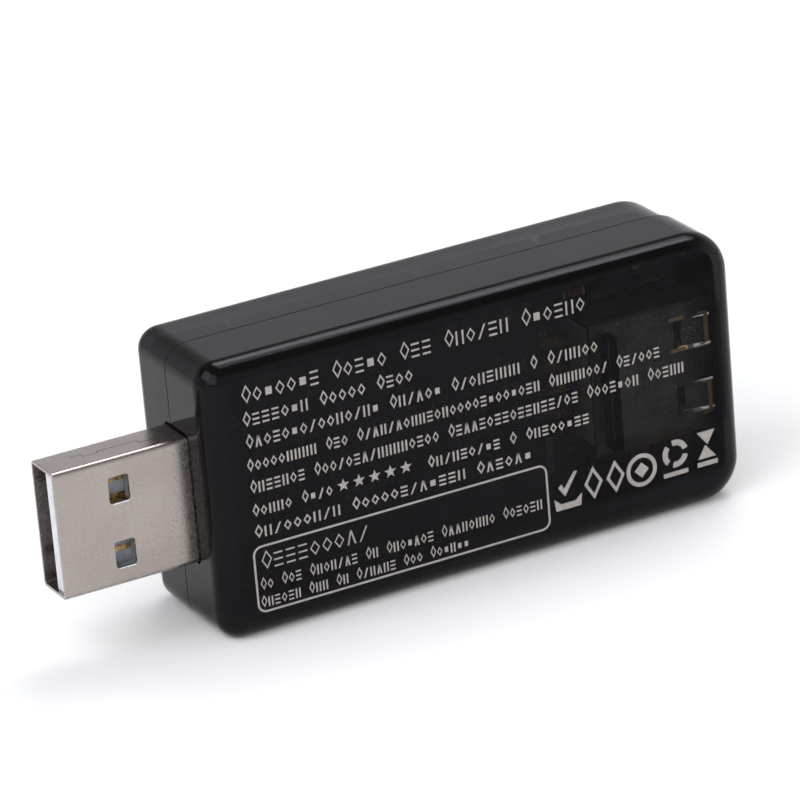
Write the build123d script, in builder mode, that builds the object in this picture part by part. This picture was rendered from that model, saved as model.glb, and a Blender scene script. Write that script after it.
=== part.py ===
from build123d import *
import os

os.makedirs("parts", exist_ok=True)

# A plug-in meter that sits between a charger's port and a cable. Everything is in millimetres.
# X runs from the plug's tip to the socket's mouth, Y from the printed back to the front with
# the display, and Z is up, as the meter stands on one long edge. The origin is under the
# middle of the whole length, on the surface that the long edge rests on.

# Driving dimensions: the case
case_length = 53.6
case_width = 26.2
case_thickness = 14.2
wall = 1.3
plug_corner = 2.1  # outline radius of the two corners beside the plug
socket_corner = 4.0  # outline radius of the rear cover's two corners beside the socket
front_corner = 4.4  # the same two corners on the front cover
front_short = 0.2  # the front cover ends this much before the rear cover
rear_round = 2.0  # rounding between the rear cover's broad face and its sides
front_round = 1.8
seam_y = 0.3  # where the two covers meet
lip_height = 0.8
lip_sheet = 0.55
lip_gap = 0.05
cover_gap = 0.1  # between a boss and the post that stands on it

# Driving dimensions: the two connectors
connector_z = 12.8
plug_reach = 13.1  # how far the plug stands out of the case
plug_length = 18.8
plug_width = 12.0
plug_height = 4.5
plug_y = -0.8
plug_gap = 0.22  # clearance between the plug and its opening
metal_sheet = 0.3
bend_round = 0.5
latch_hole_x = 6.1  # from the plug's tip to its latch holes
latch_hole_step = 6.1
latch_hole_long = 2.0
latch_hole_wide = 2.5
socket_length = 13.4
socket_width = 13.1
socket_height = 5.7
socket_gap = 0.15
mouth_depth = 0.4  # how far the socket's rim lies inside the end wall
rim_lip = 0.6
contact_places = (-3.5, -1.0, 1.0, 3.5)
contact_width = 1.0
contact_sheet = 0.25

# Driving dimensions: the board, the display and the button
board_thickness = 1.0
board_side_gap = 0.6
tape_thickness = 0.2
backlight_thickness = 1.3
glass_thickness = 1.2
window_thickness = 0.8
window_length = 32.0
window_width = 16.2
window_x = 1.8
window_z = 13.1
window_ledge = 1.8
window_tape = 0.1
button_x = 25.4
button_z = 13.1
button_radius = 2.4
button_travel = 0.25
button_gap = 0.08
switch_size = 4.6

# Sizes that follow from them
tip_x = -(plug_reach + case_length) / 2
case_start = tip_x + plug_reach
case_end = case_start + case_length
back_face = -case_thickness / 2
front_face = case_thickness / 2
inner_back = back_face + wall
inner_front = front_face - wall
inner_low = wall
inner_high = case_width - wall
board_rear = plug_y + plug_height / 2
board_front = board_rear + board_thickness
board_start = case_start + wall + 0.45
board_end = case_end - wall - 0.45
board_low = inner_low + board_side_gap
board_high = inner_high - board_side_gap
socket_mouth = case_end - mouth_depth
socket_back = socket_mouth - socket_length
socket_y = board_rear - socket_height / 2
window_face = front_face - 0.05
window_back = window_face - window_thickness


def face_plane(y):
    """A plane along the broad faces. Its own axes are +X and +Z, and it extrudes towards -Y."""
    return Plane.XZ.offset(-y)


def end_plane(x):
    """A plane across the length. Its own axes are +Y and +Z, and it extrudes towards +X."""
    return Plane.YZ.offset(x)


def keep(piece, name):
    """Labels a finished piece and writes it as one STEP file."""
    piece.part.label = name
    export_step(piece.part, f"parts/{name}.step")


# ---- the two covers ----

post_radius = 1.6
pin_radius = 0.75
pin_length = 1.6
pin_gap = 0.05
plug_post_in = 2.9
socket_post_in = 3.7
post_places = (
    (case_start + plug_post_in, plug_post_in),
    (case_start + plug_post_in, case_width - plug_post_in),
    (case_end - socket_post_in, socket_post_in),
    (case_end - socket_post_in, case_width - socket_post_in),
)
rib_width = 1.0
rib_reach = 1.6
rib_places = (-11.5, 7.5, 20.0)
board_play = 0.05
saddle_width = 11.0


def case_outline(y, inset, corner, shorter=0.0):
    """The case's outline at height y, moved in by inset, with tight corners beside the plug."""
    length = case_length - shorter - 2 * inset
    with BuildSketch(face_plane(y)) as outline:
        with Locations((case_start + inset + length / 2, case_width / 2)):
            Rectangle(length, case_width - 2 * inset)
        fillet(outline.vertices().group_by(Axis.X)[0], max(plug_corner - inset, 0.6))
        fillet(outline.vertices().group_by(Axis.X)[-1], corner - inset)
    return outline.sketch


rear_outline = case_outline(seam_y, 0, socket_corner)
rear_inside = case_outline(seam_y, wall, socket_corner)
rear_rebate = case_outline(seam_y, wall - lip_sheet - lip_gap, socket_corner)
front_outline = case_outline(front_face, 0, front_corner, front_short)
front_inside = case_outline(inner_front, wall, socket_corner)
lip_outside = case_outline(seam_y, wall - lip_sheet, socket_corner)

with BuildPart() as connector_openings:
    with BuildSketch(end_plane(case_start - wall)):
        with Locations((plug_y, connector_z)):
            RectangleRounded(
                plug_height + 2 * plug_gap, plug_width + 2 * plug_gap, bend_round + plug_gap
            )
    extrude(amount=2.5 * wall)
    with BuildSketch(end_plane(case_end - 1.5 * wall)):
        with Locations((socket_y, connector_z)):
            RectangleRounded(
                socket_height + 2 * socket_gap, socket_width + 2 * socket_gap, bend_round
            )
    extrude(amount=2.5 * wall)
    with BuildSketch(end_plane(socket_mouth - metal_sheet - 0.05)):
        with Locations((socket_y, connector_z)):
            RectangleRounded(
                socket_height + 2 * (rim_lip + socket_gap),
                socket_width + 2 * (rim_lip + socket_gap),
                0.9,
            )
    extrude(amount=wall)

with BuildPart() as rear_cover:
    extrude(rear_outline, amount=seam_y - back_face)
    fillet(rear_cover.faces().sort_by(Axis.Y)[0].edges(), rear_round)
    extrude(rear_inside, amount=seam_y - inner_back, mode=Mode.SUBTRACT)
    extrude(rear_rebate, amount=lip_height + lip_gap, mode=Mode.SUBTRACT)
    # four bosses that take the front cover's pins
    with BuildSketch(face_plane(seam_y - cover_gap)):
        with Locations(*post_places):
            Circle(post_radius)
    extrude(amount=seam_y - cover_gap - inner_back)
    with BuildSketch(face_plane(seam_y - cover_gap)):
        with Locations(*post_places):
            Circle(pin_radius + pin_gap)
    extrude(amount=pin_length + 3 * cover_gap, mode=Mode.SUBTRACT)
    # short ribs along both long walls that the board lies on
    with BuildSketch(face_plane(board_rear - board_play)):
        for rib_x in rib_places:
            with Locations((rib_x, inner_low + rib_reach / 2), (rib_x, inner_high - rib_reach / 2)):
                Rectangle(rib_width, rib_reach)
    extrude(amount=board_rear - board_play - inner_back)
    # saddles under the plug and the socket
    with BuildSketch(face_plane(plug_y - plug_height / 2 - board_play)):
        with Locations((case_start + 4.4, connector_z)):
            Rectangle(rib_width, saddle_width)
    extrude(amount=plug_y - plug_height / 2 - board_play - inner_back)
    with BuildSketch(face_plane(socket_y - socket_height / 2 - board_play)):
        with Locations((socket_back + 1.5, connector_z)):
            Rectangle(rib_width, saddle_width)
    extrude(amount=socket_y - socket_height / 2 - board_play - inner_back)
    add(connector_openings.part, mode=Mode.SUBTRACT)
keep(rear_cover, "rear_cover")

dish_radius = 3.7
dish_depth = 0.45

with BuildPart() as front_cover:
    extrude(front_outline, amount=front_face - seam_y)
    fillet(front_cover.faces().sort_by(Axis.Y)[-1].edges(), front_round)
    extrude(front_inside, amount=inner_front - seam_y, mode=Mode.SUBTRACT)
    # the lip that reaches inside the rear cover's rim
    extrude(lip_outside, amount=lip_height)
    extrude(rear_inside, amount=lip_height, mode=Mode.SUBTRACT)
    # posts with locating pins
    with BuildSketch(face_plane(inner_front)):
        with Locations(*post_places):
            Circle(post_radius)
    extrude(amount=inner_front - seam_y)
    with BuildSketch(face_plane(inner_front)):
        with Locations(*post_places):
            Circle(pin_radius)
    extrude(amount=inner_front - seam_y + cover_gap + pin_length)
    # ribs that hold the board down
    with BuildSketch(face_plane(inner_front)):
        for rib_x in rib_places:
            with Locations((rib_x, inner_low + rib_reach / 2), (rib_x, inner_high - rib_reach / 2)):
                Rectangle(rib_width, rib_reach)
    extrude(amount=inner_front - board_front - board_play)
    # the window's recess and its opening
    with BuildSketch(face_plane(front_face)):
        with Locations((window_x, window_z)):
            RectangleRounded(window_length + 0.2, window_width + 0.2, 1.6)
    extrude(amount=front_face - window_back + window_tape, mode=Mode.SUBTRACT)
    with BuildSketch(face_plane(front_face)):
        with Locations((window_x, window_z)):
            RectangleRounded(
                window_length - 2 * window_ledge, window_width - 2 * window_ledge, 0.8
            )
    extrude(amount=2 * wall, mode=Mode.SUBTRACT)
    # a shallow dish round the button, and the button's hole
    with BuildSketch(face_plane(front_face)):
        with Locations((button_x, button_z)):
            Circle(dish_radius)
    extrude(amount=dish_depth, taper=30, mode=Mode.SUBTRACT)
    with BuildSketch(face_plane(front_face)):
        with Locations((button_x, button_z)):
            Circle(button_radius + button_gap)
    extrude(amount=2 * wall, mode=Mode.SUBTRACT)
    add(connector_openings.part, mode=Mode.SUBTRACT)
keep(front_cover, "front_cover")

# ---- the window ----

with BuildPart() as display_window:
    with BuildSketch(face_plane(window_face)):
        with Locations((window_x, window_z)):
            RectangleRounded(window_length, window_width, 1.5)
    extrude(amount=window_thickness)
    chamfer(display_window.faces().sort_by(Axis.Y)[-1].edges(), 0.12)
keep(display_window, "display_window")

with BuildPart() as window_adhesive:
    with BuildSketch(face_plane(window_back)):
        with Locations((window_x, window_z)):
            RectangleRounded(window_length - 0.2, window_width - 0.2, 1.4)
            RectangleRounded(
                window_length - 2 * window_ledge + 0.1,
                window_width - 2 * window_ledge + 0.1,
                0.8,
                mode=Mode.SUBTRACT,
            )
    extrude(amount=window_tape)
keep(window_adhesive, "window_adhesive")

# ---- the button ----

button_top = front_face - 0.12
flange_radius = 3.2
flange_sheet = 0.4
flange_top = inner_front - 0.05
plunger_top = flange_top - flange_sheet - 0.4

with BuildPart() as button_cap:
    with BuildSketch(face_plane(button_top)):
        with Locations((button_x, button_z)):
            Circle(button_radius)
    extrude(amount=button_top - flange_top + flange_sheet)
    fillet(button_cap.faces().sort_by(Axis.Y)[-1].edges(), 0.25)
    with BuildSketch(face_plane(flange_top)):
        with Locations((button_x, button_z)):
            Circle(flange_radius)
    extrude(amount=flange_sheet)
    with BuildSketch(face_plane(flange_top - flange_sheet)):
        with Locations((button_x, button_z)):
            Circle(1.3)
    extrude(amount=flange_top - flange_sheet - plunger_top)
keep(button_cap, "button_cap")

# ---- the push switch under the button ----

switch_floor = board_front + 0.55
switch_top = board_front + 1.7
switch_plate = 0.15
cavity_radius = 1.7
stem_radius = 1.0
collar_top = switch_top - 0.05
collar_sheet = 0.3

with BuildPart() as switch_base:
    with BuildSketch(face_plane(switch_top)):
        with Locations((button_x, button_z)):
            RectangleRounded(switch_size, switch_size, 0.5)
    extrude(amount=switch_top - board_front)
    with BuildSketch(face_plane(switch_top)):
        with Locations((button_x, button_z)):
            Circle(cavity_radius)
    extrude(amount=switch_top - switch_floor, mode=Mode.SUBTRACT)
keep(switch_base, "switch_base")

with BuildPart() as switch_cover:
    with BuildSketch(face_plane(switch_top + switch_plate)):
        with Locations((button_x, button_z)):
            RectangleRounded(switch_size, switch_size, 0.5)
            Circle(stem_radius + button_gap, mode=Mode.SUBTRACT)
    extrude(amount=switch_plate)
keep(switch_cover, "switch_cover")

with BuildPart() as switch_plunger:
    with BuildSketch(face_plane(plunger_top)):
        with Locations((button_x, button_z)):
            Circle(stem_radius)
    extrude(amount=plunger_top - collar_top + collar_sheet)
    with BuildSketch(face_plane(collar_top)):
        with Locations((button_x, button_z)):
            Circle(stem_radius + 0.3)
    extrude(amount=collar_sheet)
keep(switch_plunger, "switch_plunger")

dome_sheet = 0.08
dome_radius = cavity_radius - 0.1
dome_top = collar_top - collar_sheet - button_travel - 0.05 - dome_sheet / 2

with BuildPart() as switch_dome:
    with BuildSketch(Plane.XY.offset(button_z)):
        with BuildLine():
            FilletPolyline(
                (button_x + 0.05, dome_top),
                (button_x + 0.5 * dome_radius, dome_top),
                (button_x + 0.85 * dome_radius, switch_floor + dome_sheet / 2),
                (button_x + dome_radius, switch_floor + dome_sheet / 2),
                radius=0.15,
            )
        trace(line_width=dome_sheet)
    revolve(axis=Axis((button_x, 0, button_z), (0, 1, 0)))
keep(switch_dome, "switch_dome")

terminal_sheet = 0.2

with BuildPart() as switch_terminals:
    for side in (-1, 1):
        for terminal_x in (button_x - 1.5, button_x + 1.5):
            edge_z = button_z + side * switch_size / 2
            with BuildSketch(end_plane(terminal_x - 0.35)):
                with BuildLine():
                    FilletPolyline(
                        (board_front + 0.7, edge_z),
                        (board_front + 0.7, edge_z + side * 0.35),
                        (board_front + terminal_sheet / 2, edge_z + side * 0.45),
                        (board_front + terminal_sheet / 2, edge_z + side * 1.1),
                        radius=0.12,
                    )
                trace(line_width=terminal_sheet)
            extrude(amount=0.7)
keep(switch_terminals, "switch_terminals")

# ---- the display ----

display_length = 31.0
display_width = 18.0
glass_margin = 0.6
tape_front = board_front + tape_thickness
backlight_front = tape_front + backlight_thickness
glass_front = backlight_front + glass_thickness

with BuildPart() as display_tape:
    with BuildSketch(face_plane(tape_front)):
        with Locations((window_x, window_z)):
            RectangleRounded(display_length - 2.0, display_width - 2.0, 0.5)
    extrude(amount=tape_thickness)
keep(display_tape, "display_tape")

with BuildPart() as display_backlight:
    with BuildSketch(face_plane(backlight_front)):
        with Locations((window_x, window_z)):
            RectangleRounded(display_length, display_width, 0.4)
    extrude(amount=backlight_thickness)
keep(display_backlight, "display_backlight")

with BuildPart() as display_glass:
    with BuildSketch(face_plane(glass_front)):
        with Locations((window_x, window_z)):
            Rectangle(display_length - 2 * glass_margin, display_width - 2 * glass_margin)
    extrude(amount=glass_thickness)
    chamfer(display_glass.faces().sort_by(Axis.Y)[-1].edges(), 0.1)
keep(display_glass, "display_glass")

with BuildPart() as display_gasket:
    with BuildSketch(face_plane(inner_front)):
        with Locations((window_x, window_z)):
            Rectangle(display_length - 2 * glass_margin - 0.4, display_width - 2 * glass_margin - 0.4)
            Rectangle(
                window_length - 2 * window_ledge + 0.2,
                window_width - 2 * window_ledge + 0.2,
                mode=Mode.SUBTRACT,
            )
    extrude(amount=inner_front - glass_front)
keep(display_gasket, "display_gasket")

ribbon_width = 9.0
ribbon_x = -1.2
ribbon_sheet = 0.1
ribbon_fold = board_high + 0.35
display_high = window_z + display_width / 2

with BuildPart() as display_ribbon:
    with BuildSketch(end_plane(ribbon_x - ribbon_width / 2)):
        with BuildLine():
            FilletPolyline(
                (tape_front + 0.7, display_high),
                (tape_front + 0.7, ribbon_fold),
                (board_rear - ribbon_sheet / 2, ribbon_fold),
                (board_rear - ribbon_sheet / 2, board_high - 3.4),
                radius=0.28,
            )
        trace(line_width=ribbon_sheet)
    extrude(amount=ribbon_width)
keep(display_ribbon, "display_ribbon")

# ---- the plug ----

plug_end = tip_x + plug_length
plug_half = plug_height / 2
plug_low = connector_z - plug_width / 2
plug_high = connector_z + plug_width / 2
leg_long = 1.4
leg_below = 0.45
plug_leg_x = plug_end - 1.6
socket_leg_x = socket_back + 5.8
seam_line = 0.07
seam_depth = 0.12
seam_tooth = 0.55

with BuildPart() as plug_shell:
    with BuildSketch(end_plane(tip_x)):
        with Locations((plug_y, connector_z)):
            RectangleRounded(plug_height, plug_width, bend_round)
    extrude(amount=plug_length)
    fillet(plug_shell.faces().sort_by(Axis.X)[0].edges(), 0.08)
    with BuildSketch(end_plane(tip_x)):
        with Locations((plug_y, connector_z)):
            RectangleRounded(
                plug_height - 2 * metal_sheet, plug_width - 2 * metal_sheet, bend_round - metal_sheet
            )
    extrude(amount=plug_length, mode=Mode.SUBTRACT)
    # two latch holes through both broad sides
    with BuildSketch(face_plane(plug_y + plug_height)):
        with Locations((tip_x + latch_hole_x, connector_z)):
            with GridLocations(latch_hole_long, latch_hole_step, 1, 2):
                RectangleRounded(latch_hole_long, latch_hole_wide, 0.3)
    extrude(amount=2 * plug_height, mode=Mode.SUBTRACT)
    # the sheet's two edges meet on the upper narrow side, hooked into each other by teeth
    with BuildSketch(Plane.XY.offset(plug_high - seam_depth)):
        with BuildLine():
            Polyline(
                (tip_x + 2.9, plug_y + 0.35),
                (tip_x + 3.9, plug_y + 0.35),
                (tip_x + 4.0, plug_y + 0.35 - seam_tooth),
                (tip_x + 5.3, plug_y + 0.35 - seam_tooth),
                (tip_x + 5.4, plug_y + 0.1),
                (tip_x + 9.2, plug_y + 0.1),
                (tip_x + 9.3, plug_y + 0.1 - seam_tooth),
                (tip_x + 13.6, plug_y + 0.1 - seam_tooth),
                (tip_x + 13.7, plug_y + 0.1),
                (plug_end + 0.1, plug_y + 0.1),
            )
        trace(line_width=seam_line)
    extrude(amount=seam_depth * 2, mode=Mode.SUBTRACT)
    # two legs that go down through the board
    with BuildSketch(face_plane(board_front + leg_below)):
        with Locations(
            (plug_leg_x, plug_low + metal_sheet / 2), (plug_leg_x, plug_high - metal_sheet / 2)
        ):
            Rectangle(leg_long, metal_sheet)
    extrude(amount=board_thickness + leg_below + bend_round)
keep(plug_shell, "plug_shell")

contact_y = plug_y - 0.1
contact_bend = plug_end + 0.35
contact_tips = (1.1, 2.1, 2.1, 1.1)

with BuildPart() as plug_contacts:
    for place, tip in zip(contact_places, contact_tips):
        with BuildSketch(Plane.XY.offset(connector_z + place - contact_width / 2)):
            with BuildLine():
                FilletPolyline(
                    (tip_x + tip, contact_y),
                    (contact_bend, contact_y),
                    (contact_bend, board_rear - contact_sheet / 2),
                    (contact_bend + 1.6, board_rear - contact_sheet / 2),
                    radius=0.3,
                )
            trace(line_width=contact_sheet)
        extrude(amount=contact_width)
keep(plug_contacts, "plug_contacts")

slab_start = tip_x + 0.35
block_start = tip_x + 11.8
block_end = plug_end - 0.2
insulator_gap = 0.04
slab_low_y = plug_y - plug_half + metal_sheet + insulator_gap
slab_high_y = plug_y + 0.02
pocket_depth = 1.1

with BuildPart() as plug_insulator:
    with BuildSketch(face_plane(slab_high_y)):
        with Locations(((slab_start + block_end) / 2, connector_z)):
            Rectangle(block_end - slab_start, plug_width - 2 * (metal_sheet + insulator_gap))
    extrude(amount=slab_high_y - slab_low_y)
    with BuildSketch(face_plane(plug_y + plug_half - metal_sheet - insulator_gap)):
        with Locations(((block_start + block_end) / 2, connector_z)):
            Rectangle(block_end - block_start, plug_width - 2 * (metal_sheet + insulator_gap))
    extrude(amount=plug_height - 2 * (metal_sheet + insulator_gap))
    fillet(plug_insulator.edges().filter_by(Axis.X).group_by(Axis.Y)[0], 0.2)
    fillet(plug_insulator.edges().filter_by(Axis.X).group_by(Axis.Y)[-1], 0.2)
    # pockets behind the latch holes
    with BuildSketch(face_plane(slab_low_y + pocket_depth)):
        with Locations((tip_x + latch_hole_x, connector_z)):
            with GridLocations(latch_hole_long, latch_hole_step, 1, 2):
                Rectangle(latch_hole_long + 0.3, latch_hole_wide + 0.3)
    extrude(amount=2 * pocket_depth, mode=Mode.SUBTRACT)
    # the mould's small gate mark on the front edge
    with BuildSketch(face_plane(slab_low_y + 0.35)):
        with Locations((slab_start, connector_z - 0.4)):
            Rectangle(0.8, 0.4)
    extrude(amount=0.8, mode=Mode.SUBTRACT)
    add(plug_contacts.part, mode=Mode.SUBTRACT)
keep(plug_insulator, "plug_insulator")

# ---- the socket ----

socket_half = socket_height / 2
socket_low = connector_z - socket_width / 2
socket_high = connector_z + socket_width / 2
spring_step = 6.3
spring_wide = 2.5
spring_slot = 0.3
spring_root = socket_mouth - 0.65
spring_long = 4.1
spring_dip = 0.62
tongue_width = 11.0
tongue_sheet = 1.45
tongue_y = socket_y + 0.5
tongue_tip = socket_mouth - 0.9
socket_block = 2.6

with BuildPart() as socket_shell:
    with BuildSketch(end_plane(socket_back)):
        with Locations((socket_y, connector_z)):
            RectangleRounded(socket_height, socket_width, bend_round)
    extrude(amount=socket_length)
    with BuildSketch(end_plane(socket_mouth - metal_sheet)):
        with Locations((socket_y, connector_z)):
            RectangleRounded(socket_height + 2 * rim_lip, socket_width - 1.4, 0.3)
            RectangleRounded(socket_height - 1.4, socket_width + 2 * rim_lip, 0.3)
    extrude(amount=metal_sheet)
    with BuildSketch(end_plane(socket_back)):
        with Locations((socket_y, connector_z)):
            RectangleRounded(
                socket_height - 2 * metal_sheet,
                socket_width - 2 * metal_sheet,
                bend_round - metal_sheet,
            )
    extrude(amount=socket_length, mode=Mode.SUBTRACT)
    # windows for two springs on each broad side
    with BuildSketch(face_plane(socket_y + socket_height)):
        with Locations((spring_root - spring_long / 2, connector_z)):
            with GridLocations(spring_long, spring_step, 1, 2):
                Rectangle(spring_long, spring_wide + 2 * spring_slot)
    extrude(amount=2 * socket_height, mode=Mode.SUBTRACT)
    # each spring leans inwards from its root beside the mouth and curls out at its free end
    for side in (-1, 1):
        sheet_y = socket_y + side * (socket_half - metal_sheet / 2)
        for spring_z in (connector_z - spring_step / 2, connector_z + spring_step / 2):
            with BuildSketch(Plane.XY.offset(spring_z - spring_wide / 2)):
                with BuildLine():
                    FilletPolyline(
                        (spring_root + 0.2, sheet_y),
                        (spring_root - 0.25, sheet_y),
                        (spring_root - 2.9, sheet_y - side * spring_dip),
                        (spring_root - spring_long + 0.4, sheet_y - side * spring_dip / 3),
                        radius=0.4,
                    )
                trace(line_width=metal_sheet - 0.05)
            extrude(amount=spring_wide)
    # legs that go through the board
    with BuildSketch(face_plane(board_front + leg_below)):
        with Locations(
            (socket_leg_x, socket_low + metal_sheet / 2),
            (socket_leg_x, socket_high - metal_sheet / 2),
        ):
            Rectangle(leg_long, metal_sheet)
    extrude(amount=board_thickness + leg_below + bend_round)
keep(socket_shell, "socket_shell")

socket_contact_y = tongue_y - tongue_sheet / 2 + contact_sheet / 2 - 0.02
socket_contact_bend = socket_back - 0.35

with BuildPart() as socket_contacts:
    for place in contact_places:
        with BuildSketch(Plane.XY.offset(connector_z + place - contact_width / 2)):
            with BuildLine():
                FilletPolyline(
                    (tongue_tip - 0.7, socket_contact_y + 0.1),
                    (tongue_tip - 2.2, socket_contact_y - 0.55),
                    (tongue_tip - 4.4, socket_contact_y),
                    (socket_contact_bend, socket_contact_y),
                    (socket_contact_bend, board_rear - contact_sheet / 2),
                    (socket_contact_bend - 1.5, board_rear - contact_sheet / 2),
                    radius=0.3,
                )
            trace(line_width=contact_sheet)
        extrude(amount=contact_width)
keep(socket_contacts, "socket_contacts")

with BuildPart() as socket_tongue:
    with BuildSketch(end_plane(socket_back + 0.9)):
        with Locations((socket_y, connector_z)):
            Rectangle(
                socket_height - 2 * (metal_sheet + insulator_gap),
                socket_width - 2 * (metal_sheet + 0.2),
            )
    extrude(amount=socket_block)
    with BuildSketch(end_plane(socket_back + 0.9)):
        with Locations((tongue_y, connector_z)):
            Rectangle(tongue_sheet, tongue_width)
    extrude(amount=tongue_tip - socket_back - 0.9)
    chamfer(socket_tongue.faces().sort_by(Axis.X)[-1].edges(), 0.3)
    add(socket_contacts.part, mode=Mode.SUBTRACT)
keep(socket_tongue, "socket_tongue")

# ---- the board ----

plug_notch_long = case_start + plug_post_in + post_radius + 0.3 - board_start
plug_notch_wide = plug_post_in + post_radius + 0.3 - board_low
socket_notch_long = board_end - (case_end - socket_post_in - post_radius - 0.3)
socket_notch_wide = socket_post_in + post_radius + 0.3 - board_low
slot_gap = 0.15

with BuildPart() as main_board:
    with BuildSketch(face_plane(board_front)):
        with Locations(((board_start + board_end) / 2, case_width / 2)):
            Rectangle(board_end - board_start, board_high - board_low)
        with Locations(
            (board_start + plug_notch_long / 2, board_low + plug_notch_wide / 2),
            (board_start + plug_notch_long / 2, board_high - plug_notch_wide / 2),
        ):
            Rectangle(plug_notch_long, plug_notch_wide, mode=Mode.SUBTRACT)
        with Locations(
            (board_end - socket_notch_long / 2, board_low + socket_notch_wide / 2),
            (board_end - socket_notch_long / 2, board_high - socket_notch_wide / 2),
        ):
            Rectangle(socket_notch_long, socket_notch_wide, mode=Mode.SUBTRACT)
        with Locations(
            (plug_leg_x, plug_low + metal_sheet / 2),
            (plug_leg_x, plug_high - metal_sheet / 2),
            (socket_leg_x, socket_low + metal_sheet / 2),
            (socket_leg_x, socket_high - metal_sheet / 2),
        ):
            Rectangle(leg_long + 2 * slot_gap, metal_sheet + 2 * slot_gap, mode=Mode.SUBTRACT)
    extrude(amount=board_thickness)
keep(main_board, "main_board")

# ---- parts soldered on the board's rear side ----

lead_sheet = 0.15
stand_off = 0.1


def chip(x, z, length, width, height):
    """A moulded chip body on the board's rear side, its far face drawn in a little."""
    with BuildPart() as body:
        with BuildSketch(face_plane(board_rear - stand_off)):
            with Locations((x, z)):
                Rectangle(length, width)
        extrude(amount=height - stand_off, taper=4)
        chamfer(body.faces().sort_by(Axis.Y)[0].edges(), 0.06)
        with BuildSketch(face_plane(board_rear - height + 0.08)):
            with Locations((x - length / 2 + 0.8, z - width / 2 + 0.8)):
                Circle(0.3)
        extrude(amount=0.3, mode=Mode.SUBTRACT)
    return body


def gull_leads(x, z, width, pitch, rows):
    """Bent leads on a chip's lower and upper side: rows holds how many there are on each."""
    with BuildPart() as leads:
        for side, count in zip((-1, 1), rows):
            edge = z + side * (width / 2 - 0.02)
            for number in range(count):
                lead_x = x + (number - (count - 1) / 2) * pitch
                with BuildSketch(end_plane(lead_x - pitch / 5)):
                    with BuildLine():
                        FilletPolyline(
                            (board_rear - 0.5, edge),
                            (board_rear - 0.5, edge + side * 0.3),
                            (board_rear - lead_sheet / 2, edge + side * 0.4),
                            (board_rear - lead_sheet / 2, edge + side * 0.95),
                            radius=0.1,
                        )
                    trace(line_width=lead_sheet)
                extrude(amount=2 * pitch / 5)
    return leads


chip_place = {"controller": (-1.5, 10.2), "memory": (8.2, 17.6), "amplifier": (14.2, 11.6)}
controller_leads = gull_leads(*chip_place["controller"], 4.4, 0.65, (10, 10))
memory_leads = gull_leads(*chip_place["memory"], 3.9, 1.27, (4, 4))
amplifier_leads = gull_leads(*chip_place["amplifier"], 1.6, 0.95, (3, 2))
keep(controller_leads, "controller_leads")
keep(memory_leads, "memory_leads")
keep(amplifier_leads, "amplifier_leads")

controller_body = chip(*chip_place["controller"], 6.5, 4.4, 1.1)
memory_body = chip(*chip_place["memory"], 4.9, 3.9, 1.5)
amplifier_body = chip(*chip_place["amplifier"], 2.9, 1.6, 1.1)

with BuildPart() as controller_chip:
    add(controller_body.part)
    add(controller_leads.part, mode=Mode.SUBTRACT)
keep(controller_chip, "controller_chip")

with BuildPart() as memory_chip:
    add(memory_body.part)
    add(memory_leads.part, mode=Mode.SUBTRACT)
keep(memory_chip, "memory_chip")

with BuildPart() as amplifier_chip:
    add(amplifier_body.part)
    add(amplifier_leads.part, mode=Mode.SUBTRACT)
keep(amplifier_chip, "amplifier_chip")

regulator_x = -10.5
regulator_z = 18.8

with BuildPart() as regulator_tab:
    with BuildSketch(face_plane(board_rear)):
        with Locations((regulator_x, regulator_z)):
            Rectangle(1.6, 4.0)
        with Locations((regulator_x - 1.5, regulator_z - 1.7), (regulator_x + 1.5, regulator_z - 1.7)):
            Rectangle(0.45, 1.4)
    extrude(amount=0.35)
keep(regulator_tab, "regulator_tab")

with BuildPart() as regulator_chip:
    with BuildSketch(face_plane(board_rear - 0.02)):
        with Locations((regulator_x, regulator_z)):
            Rectangle(4.5, 2.5)
    extrude(amount=1.5, taper=5)
    add(regulator_tab.part, mode=Mode.SUBTRACT)
keep(regulator_chip, "regulator_chip")

with BuildPart() as shunt_resistor:
    with Locations((14.6, board_rear, 5.4)):
        Box(6.3, 0.7, 3.1, align=(Align.CENTER, Align.MAX, Align.CENTER))
    fillet(shunt_resistor.edges().filter_by(Axis.Z), 0.12)
keep(shunt_resistor, "shunt_resistor")

capacitor_places = ((-7.0, 14.6), (-11.2, 13.2), (7.0, 21.8), (9.8, 12.2), (14.4, 15.4), (-8.2, 6.0))
resistor_places = (
    (3.8, 14.6),
    (3.8, 16.4),
    (3.8, 5.2),
    (5.6, 5.2),
    (7.4, 5.2),
    (9.2, 9.2),
    (12.4, 20.6),
    (14.4, 20.6),
    (-10.6, 9.6),
    (-5.6, 18.6),
)

with BuildPart() as capacitors:
    for place_x, place_z in capacitor_places:
        with Locations((place_x, board_rear, place_z)):
            Box(2.0, 1.1, 1.25, align=(Align.CENTER, Align.MAX, Align.CENTER))
keep(capacitors, "capacitors")

with BuildPart() as resistors:
    for place_x, place_z in resistor_places:
        with Locations((place_x, board_rear, place_z)):
            Box(0.8, 0.45, 1.55, align=(Align.CENTER, Align.MAX, Align.CENTER))
keep(resistors, "resistors")

lamp_x = 21.4
lamp_z = 20.7

with BuildPart() as signal_lamp:
    with BuildSketch(face_plane(board_rear)):
        with Locations((lamp_x, lamp_z)):
            Rectangle(1.7, 0.9)
    extrude(amount=0.3)
    with BuildSketch(face_plane(board_rear - 0.3)):
        with Locations((lamp_x, lamp_z)):
            Rectangle(1.0, 0.8)
    extrude(amount=0.35, taper=6)
keep(signal_lamp, "signal_lamp")
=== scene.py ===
import math
import random

import bmesh
import bpy
from mathutils import Matrix, Vector


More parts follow.
